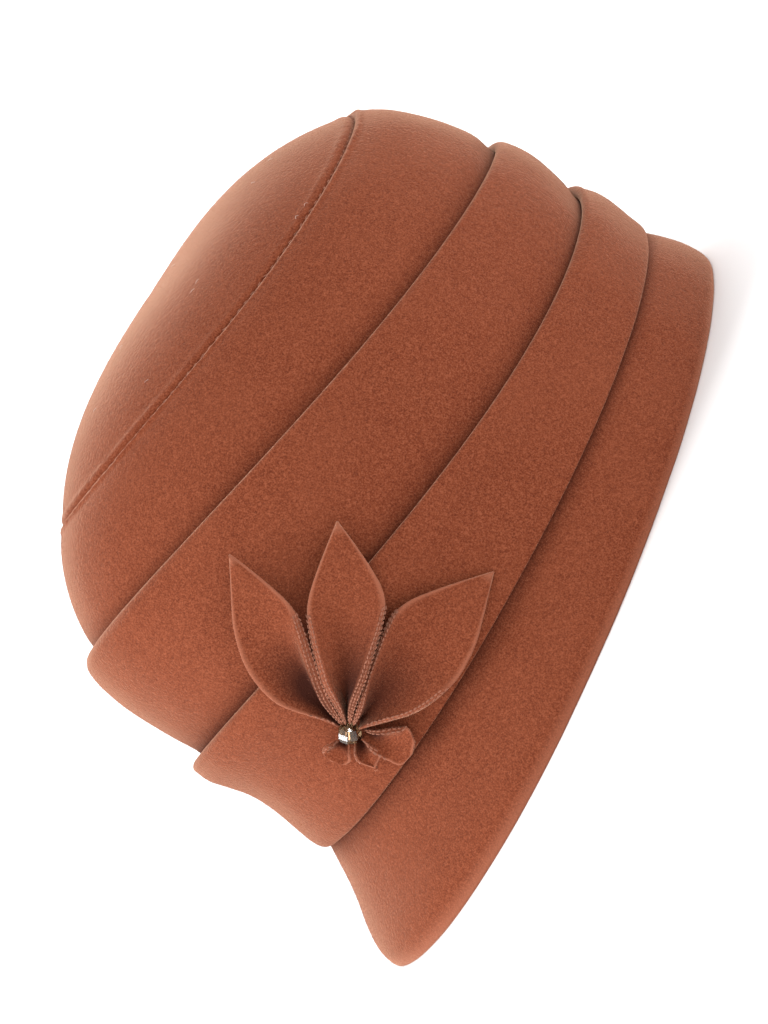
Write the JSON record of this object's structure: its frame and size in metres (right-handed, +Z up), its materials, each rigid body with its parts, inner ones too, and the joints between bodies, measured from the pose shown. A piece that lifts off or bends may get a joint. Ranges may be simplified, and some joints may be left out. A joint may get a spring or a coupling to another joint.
{
  "type": "cloche hat",
  "caption": "Soft cloche hat with a domed tip, overlapping crown bands, a short flared brim with a visor front, and a cloth flower pinched under a faceted glass bead.",
  "frame": {"origin": "middle of the hat's outline, on the surface that the rim rests on", "axes": "+Z up through the crown, the front with its visor towards -Y, the wearer's left with the flower towards +X"},
  "size_m": [0.1936, 0.2506, 0.1525],
  "materials": {
    "felt": "brushed short pile, matt",
    "bead_glass": "smoky, cut and polished"
  },
  "bodies": {
    "root": {"crown_tip": "felt", "crown_band_upper": "felt", "crown_band_middle": "felt", "crown_band_lower": "felt", "brim": "felt", "petal_upper": "felt", "petal_middle": "felt", "petal_lower": "felt", "lobe_front": "felt", "lobe_middle": "felt", "lobe_back": "felt", "bead": "bead_glass"}
  },
  "joints": []
}
